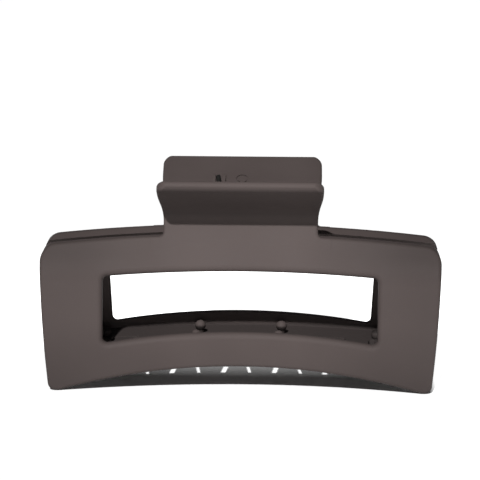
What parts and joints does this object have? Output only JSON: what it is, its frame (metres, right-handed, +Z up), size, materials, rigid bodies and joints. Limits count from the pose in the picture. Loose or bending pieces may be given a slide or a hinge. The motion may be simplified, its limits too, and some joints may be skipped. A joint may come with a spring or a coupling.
{
  "type": "claw clip",
  "caption": "Rectangular open-frame claw clip for hair: arched jaws with interlocking teeth on a sprung hinge, opened by flared thumb tabs.",
  "frame": {"origin": "centre of the clip's footprint, on the surface that it stands on", "axes": "+X along the jaws and the hinge axis, -Y towards the front jaw, +Z up towards the thumb tabs"},
  "size_m": [0.1102, 0.0424, 0.0602],
  "materials": {
    "jaw_plastic": "soft-touch matte moulded plastic, dark taupe brown",
    "pin_steel": "drawn steel pin, slightly dull",
    "spring_steel": "dark drawn spring wire, slightly dull"
  },
  "bodies": {
    "front": {"front_jaw": "jaw_plastic", "hinge_pin": "pin_steel", "torsion_spring": "spring_steel"},
    "rear": {"rear_jaw": "jaw_plastic"}
  },
  "joints": [
    {"name": "jaw_hinge", "type": "hinge", "parent": "front", "child": "rear", "pos_m": [0, 0, 0.0469], "axis": [1, 0, 0], "range_deg": [0, 70], "stiffness_Nm_per_rad": 0.25, "springref_deg": -34.38, "deforming": ["torsion_spring"]}
  ]
}
